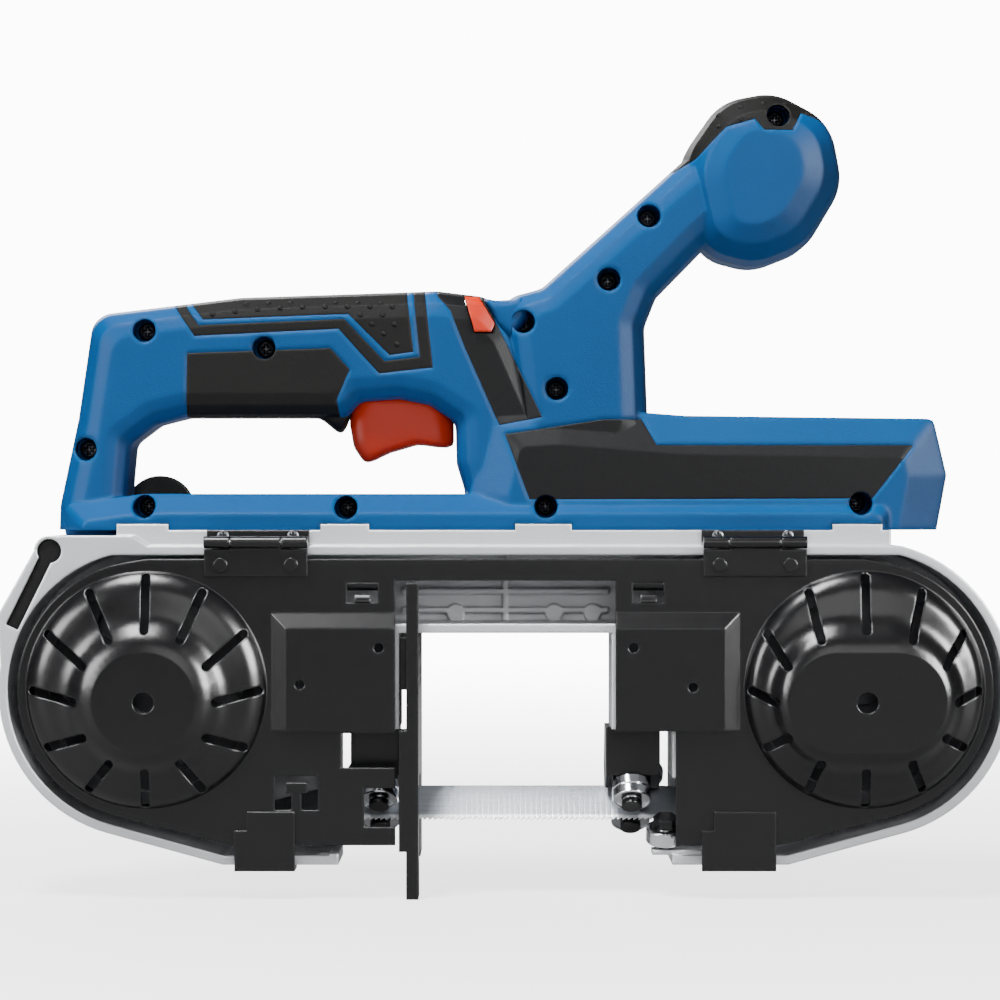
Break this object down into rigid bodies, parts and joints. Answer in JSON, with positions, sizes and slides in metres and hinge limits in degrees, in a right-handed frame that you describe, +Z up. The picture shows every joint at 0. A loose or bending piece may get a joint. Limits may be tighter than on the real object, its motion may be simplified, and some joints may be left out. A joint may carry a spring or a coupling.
{
  "type": "portable band saw",
  "caption": "Cordless portable band saw with a closed rear handle, front knob, hinged wheel cover, guided twisted blade in an open throat and a battery rail.",
  "frame": {"origin": "middle of the bottom of the overall box, at the height of the tip of the work stop", "axes": "+X along the saw towards the battery end, +Y away from the wheel cover towards the motor, +Z up"},
  "size_m": [0.334, 0.1208, 0.2679],
  "materials": {
    "cast_grey": "cast, light grey",
    "satin_black_steel": "satin black",
    "steel": "machined",
    "zinc_steel": "zinc plated",
    "blade_steel": "rolled",
    "blue_plastic": "fine grain",
    "black_rubber": "matte",
    "black_plastic": "fine grain",
    "orange_plastic": "satin",
    "wheel_alloy": "turned",
    "brass": "bright",
    "grey_plastic": "matte"
  },
  "bodies": {
    "body": {"frame": "cast_grey", "corner_bumper": "black_rubber", "gear_case_cover": "cast_grey", "frame_screws": "zinc_steel", "drive_bearings": "steel", "small_bearings": "steel", "motor_can": "zinc_steel", "motor_shell": "blue_plastic", "slide_plate": "zinc_steel", "blade": "blade_steel", "guide_holder_left": "satin_black_steel", "guide_holder_right": "satin_black_steel", "roller_pins": "zinc_steel", "work_stop": "satin_black_steel", "hinge_fixed_leaves": "satin_black_steel", "hinge_pins": "steel", "hinge_screws": "zinc_steel", "housing_front": "blue_plastic", "housing_back": "blue_plastic", "housing_screws": "zinc_steel", "grip_top": "black_rubber", "grip_lower": "black_rubber", "front_grip": "black_rubber", "neck_band": "black_plastic", "side_panels": "black_plastic", "switch_module": "black_plastic", "battery_socket": "black_plastic", "terminal_block": "black_plastic", "terminal_blades": "brass", "control_module": "grey_plastic"},
    "drive": {"drive_wheel": "wheel_alloy", "drive_tyre": "black_rubber", "drive_bolt": "zinc_steel", "drive_shaft": "steel", "output_gear": "steel"},
    "lay": {"lay_shaft": "steel"},
    "rotor": {"motor_rotor": "steel", "motor_fan": "black_plastic"},
    "slide": {"tension_slide": "steel", "idler_axle": "steel"},
    "idler": {"idler_wheel": "wheel_alloy", "idler_tyre": "black_rubber", "idler_bearings": "steel"},
    "lever": {"tension_lever": "satin_black_steel", "lever_clip": "zinc_steel"},
    "cover": {"wheel_cover": "satin_black_steel", "hinge_moving_leaves": "satin_black_steel", "hinge_rivets": "satin_black_steel", "cover_clips": "satin_black_steel"},
    "trigger": {"trigger": "orange_plastic"},
    "lock_off": {"lock_off_button": "orange_plastic"},
    "hook": {"hang_hook": "satin_black_steel"},
    "stop_roller": {"stop_roller": "steel"},
    "front_roller_left": {"front_roller_left": "steel"},
    "rear_roller_left": {"rear_roller_left": "steel"},
    "thrust_roller_left": {"thrust_roller_left": "steel"},
    "front_roller_right": {"front_roller_right": "steel"},
    "rear_roller_right": {"rear_roller_right": "steel"},
    "thrust_roller_right": {"thrust_roller_right": "steel"}
  },
  "joints": [
    {"name": "drive_spin", "type": "hinge", "parent": "body", "child": "drive", "pos_m": [0.118, -0.0092, 0.0687], "axis": [0, 1, 0], "continuous": true},
    {"name": "lay_spin", "type": "hinge", "parent": "body", "child": "lay", "pos_m": [0.08804, -0.0092, 0.0671], "axis": [0, 1, 0], "continuous": true},
    {"name": "rotor_spin", "type": "hinge", "parent": "body", "child": "rotor", "pos_m": [0.088, -0.0092, 0.0887], "axis": [0, 1, 0], "continuous": true},
    {"name": "tension_slide", "type": "slide", "parent": "body", "child": "slide", "axis": [1, 0, 0], "range_m": [0, 0.0099]},
    {"name": "idler_spin", "type": "hinge", "parent": "slide", "child": "idler", "pos_m": [-0.118, -0.0092, 0.0687], "axis": [0, 1, 0], "continuous": true},
    {"name": "tension_lever", "type": "hinge", "parent": "body", "child": "lever", "pos_m": [-0.08455, -0.0092, 0.0687], "axis": [0, 1, 0], "range_deg": [0, 90.2]},
    {"name": "cover_hinge", "type": "hinge", "parent": "body", "child": "cover", "pos_m": [0, -0.0508, 0.1173], "axis": [-1, 0, 0], "range_deg": [0, 105]},
    {"name": "trigger_press", "type": "slide", "parent": "body", "child": "trigger", "axis": [0, 0, 1], "range_m": [0, 0.004], "stiffness_N_per_m": 400, "springref_m": -0.003},
    {"name": "lock_off_press", "type": "slide", "parent": "body", "child": "lock_off", "axis": [0, 1, 0], "range_m": [-0.003, 0.003], "stiffness_N_per_m": 300},
    {"name": "hook_swing", "type": "hinge", "parent": "body", "child": "hook", "pos_m": [-0.12012, 0.0208, 0.12766], "axis": [0, -1, 0], "range_deg": [0, 120]},
    {"name": "stop_roller_spin", "type": "hinge", "parent": "body", "child": "stop_roller", "pos_m": [0.053, -0.0402, 0.0207], "axis": [0, -0.342, 0.9397], "continuous": true},
    {"name": "front_roller_left_spin", "type": "hinge", "parent": "body", "child": "front_roller_left", "pos_m": [-0.042, -0.03352, 0.03397], "axis": [0, 0.5736, 0.8192], "continuous": true},
    {"name": "rear_roller_left_spin", "type": "hinge", "parent": "body", "child": "rear_roller_left", "pos_m": [-0.042, -0.02188, 0.02583], "axis": [0, 0.5736, 0.8192], "continuous": true},
    {"name": "thrust_roller_left_spin", "type": "hinge", "parent": "body", "child": "thrust_roller_left", "pos_m": [-0.0486, -0.02122, 0.03916], "axis": [0, -0.8192, 0.5736], "continuous": true},
    {"name": "front_roller_right_spin", "type": "hinge", "parent": "body", "child": "front_roller_right", "pos_m": [0.042, -0.03352, 0.03397], "axis": [0, 0.5736, 0.8192], "continuous": true},
    {"name": "rear_roller_right_spin", "type": "hinge", "parent": "body", "child": "rear_roller_right", "pos_m": [0.042, -0.02188, 0.02583], "axis": [0, 0.5736, 0.8192], "continuous": true},
    {"name": "thrust_roller_right_spin", "type": "hinge", "parent": "body", "child": "thrust_roller_right", "pos_m": [0.0486, -0.02122, 0.03916], "axis": [0, -0.8192, 0.5736], "continuous": true}
  ],
  "couplings": [
    {"joint": "lay_spin", "follows": "drive_spin", "ratio": -4},
    {"joint": "rotor_spin", "follows": "drive_spin", "ratio": 20},
    {"joint": "idler_spin", "follows": "drive_spin", "ratio": 1},
    {"joint": "tension_lever", "follows": "tension_slide", "rad_per_m": 158.67},
    {"joint": "front_roller_left_spin", "follows": "drive_spin", "ratio": 6.3077},
    {"joint": "rear_roller_left_spin", "follows": "drive_spin", "ratio": -6.3077},
    {"joint": "thrust_roller_left_spin", "follows": "drive_spin", "ratio": -9.1111},
    {"joint": "front_roller_right_spin", "follows": "drive_spin", "ratio": 6.3077},
    {"joint": "rear_roller_right_spin", "follows": "drive_spin", "ratio": -6.3077},
    {"joint": "thrust_roller_right_spin", "follows": "drive_spin", "ratio": -9.1111}
  ]
}
